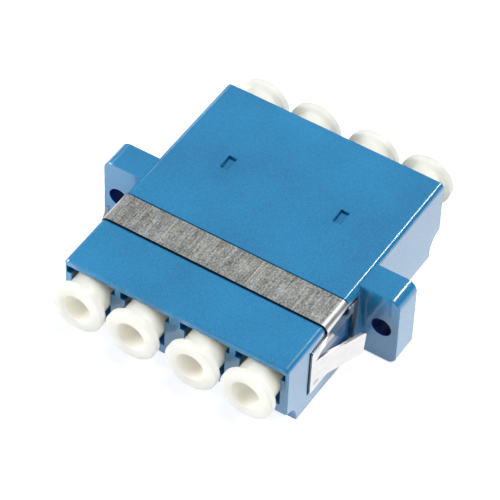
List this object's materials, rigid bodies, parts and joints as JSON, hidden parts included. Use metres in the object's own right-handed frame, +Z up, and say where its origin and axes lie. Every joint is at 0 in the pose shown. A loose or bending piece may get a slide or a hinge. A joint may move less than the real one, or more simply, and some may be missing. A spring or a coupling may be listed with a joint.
{
  "type": "lc fibre adapter",
  "caption": "Moulded fibre optic adapter with ports at both ends, panel ears, a folded steel spring clip and pull-out dust caps",
  "frame": {"origin": "centre of the bottom face, midway between the front and the rear mating faces", "axes": "+X across the ports towards the right ear, +Y along the fibres from the front ports to the rear ports, +Z up to the face that the clip band crosses"},
  "size_m": [0.0344, 0.0342, 0.0091],
  "materials": {
    "housing_plastic": "blue moulded plastic, fine satin texture",
    "holder_plastic": "blue moulded plastic, smooth",
    "spring_steel": "stainless spring steel, brushed across the strip, bright at the bends",
    "cap_plastic": "soft milky white moulded plastic, slightly translucent",
    "zirconia": "ground white zirconia ceramic"
  },
  "bodies": {
    "adapter": {"housing": "housing_plastic", "sleeve_holder_left": "holder_plastic", "sleeve_holder_right": "holder_plastic", "split_sleeve_1": "zirconia", "split_sleeve_2": "zirconia", "split_sleeve_3": "zirconia", "split_sleeve_4": "zirconia", "spring_clip": "spring_steel"},
    "front_cap_1": {"dust_cap_front_1": "cap_plastic"},
    "front_cap_2": {"dust_cap_front_2": "cap_plastic"},
    "front_cap_3": {"dust_cap_front_3": "cap_plastic"},
    "front_cap_4": {"dust_cap_front_4": "cap_plastic"},
    "rear_cap_1": {"dust_cap_rear_1": "cap_plastic"},
    "rear_cap_2": {"dust_cap_rear_2": "cap_plastic"},
    "rear_cap_3": {"dust_cap_rear_3": "cap_plastic"},
    "rear_cap_4": {"dust_cap_rear_4": "cap_plastic"}
  },
  "joints": [
    {"name": "front_cap_1_pull", "type": "slide", "parent": "adapter", "child": "front_cap_1", "axis": [0, -1, 0], "range_m": [0, 0.014]},
    {"name": "front_cap_2_pull", "type": "slide", "parent": "adapter", "child": "front_cap_2", "axis": [0, -1, 0], "range_m": [0, 0.014]},
    {"name": "front_cap_3_pull", "type": "slide", "parent": "adapter", "child": "front_cap_3", "axis": [0, -1, 0], "range_m": [0, 0.014]},
    {"name": "front_cap_4_pull", "type": "slide", "parent": "adapter", "child": "front_cap_4", "axis": [0, -1, 0], "range_m": [0, 0.014]},
    {"name": "rear_cap_1_pull", "type": "slide", "parent": "adapter", "child": "rear_cap_1", "axis": [0, 1, 0], "range_m": [0, 0.014]},
    {"name": "rear_cap_2_pull", "type": "slide", "parent": "adapter", "child": "rear_cap_2", "axis": [0, 1, 0], "range_m": [0, 0.014]},
    {"name": "rear_cap_3_pull", "type": "slide", "parent": "adapter", "child": "rear_cap_3", "axis": [0, 1, 0], "range_m": [0, 0.014]},
    {"name": "rear_cap_4_pull", "type": "slide", "parent": "adapter", "child": "rear_cap_4", "axis": [0, 1, 0], "range_m": [0, 0.014]}
  ]
}
